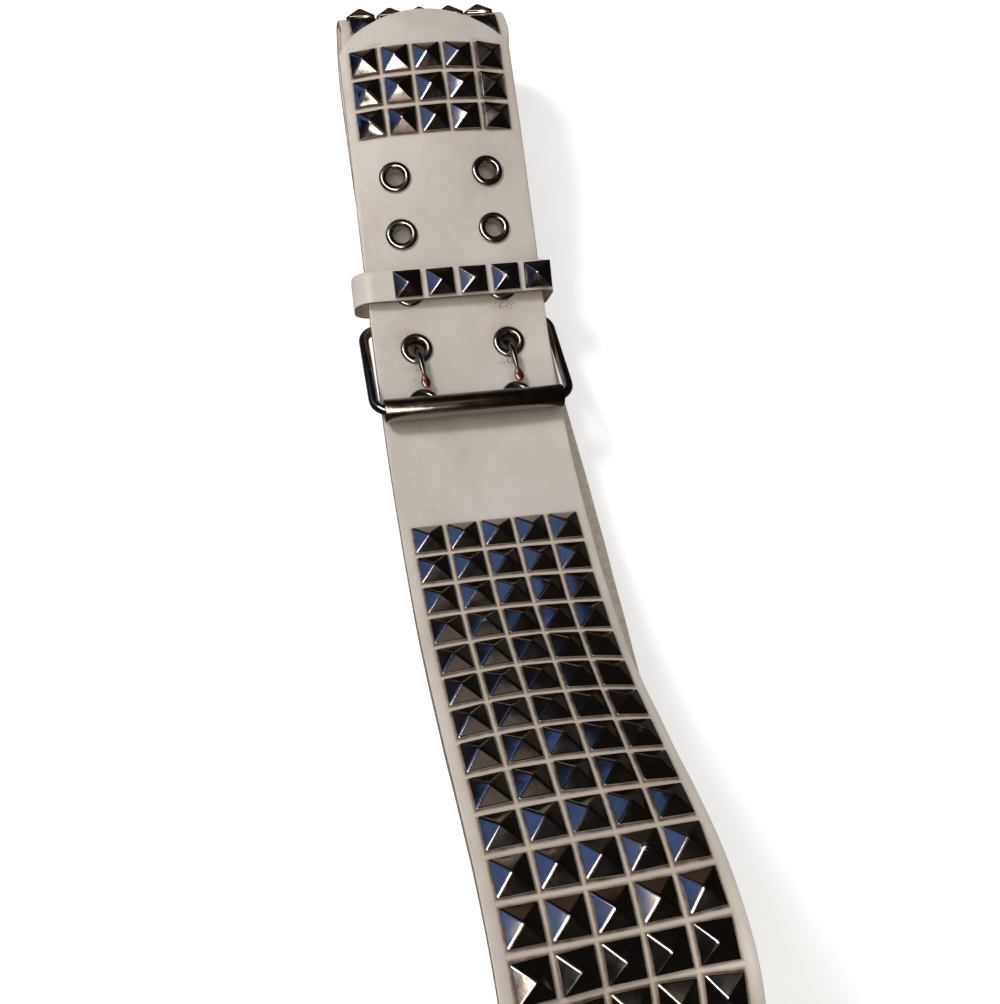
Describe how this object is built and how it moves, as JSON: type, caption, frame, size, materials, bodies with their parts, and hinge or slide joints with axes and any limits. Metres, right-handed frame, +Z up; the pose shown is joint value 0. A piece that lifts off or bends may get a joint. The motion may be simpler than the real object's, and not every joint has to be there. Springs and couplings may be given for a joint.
{
  "type": "studded leather belt",
  "caption": "Wide leather belt with rows of pyramid studs, eyelet pairs, a studded keeper and a two-prong roller buckle, buckled into a loop and lying flat.",
  "frame": {"origin": "middle of the lying belt's box, on the surface that it rests on", "axes": "+Y along the belt from the round near bulb to the bend at the tip's end, +X to the right across the strap, +Z up"},
  "size_m": [0.0802, 0.3804, 0.0854],
  "materials": {
    "strap": "off-white coated leather, satin",
    "keeper": "off-white coated leather, satin",
    "studs": "gunmetal plating, polished",
    "eyelets": "gunmetal plating, polished",
    "buckle_wire": "gunmetal plating, polished",
    "roller": "black nickel, satin and worn",
    "prongs": "worn plated steel"
  },
  "bodies": {
    "root": {"strap": "strap", "keeper": "keeper", "eyelet_1_left": "eyelets", "eyelet_1_right": "eyelets", "eyelet_2_left": "eyelets", "eyelet_2_right": "eyelets", "eyelet_3_left": "eyelets", "eyelet_3_right": "eyelets", "eyelet_4_left": "eyelets", "eyelet_4_right": "eyelets", "eyelet_5_left": "eyelets", "eyelet_5_right": "eyelets", "buckle_frame": "buckle_wire", "roller": "roller", "prong_left": "prongs", "prong_right": "prongs"}
  },
  "joints": []
}
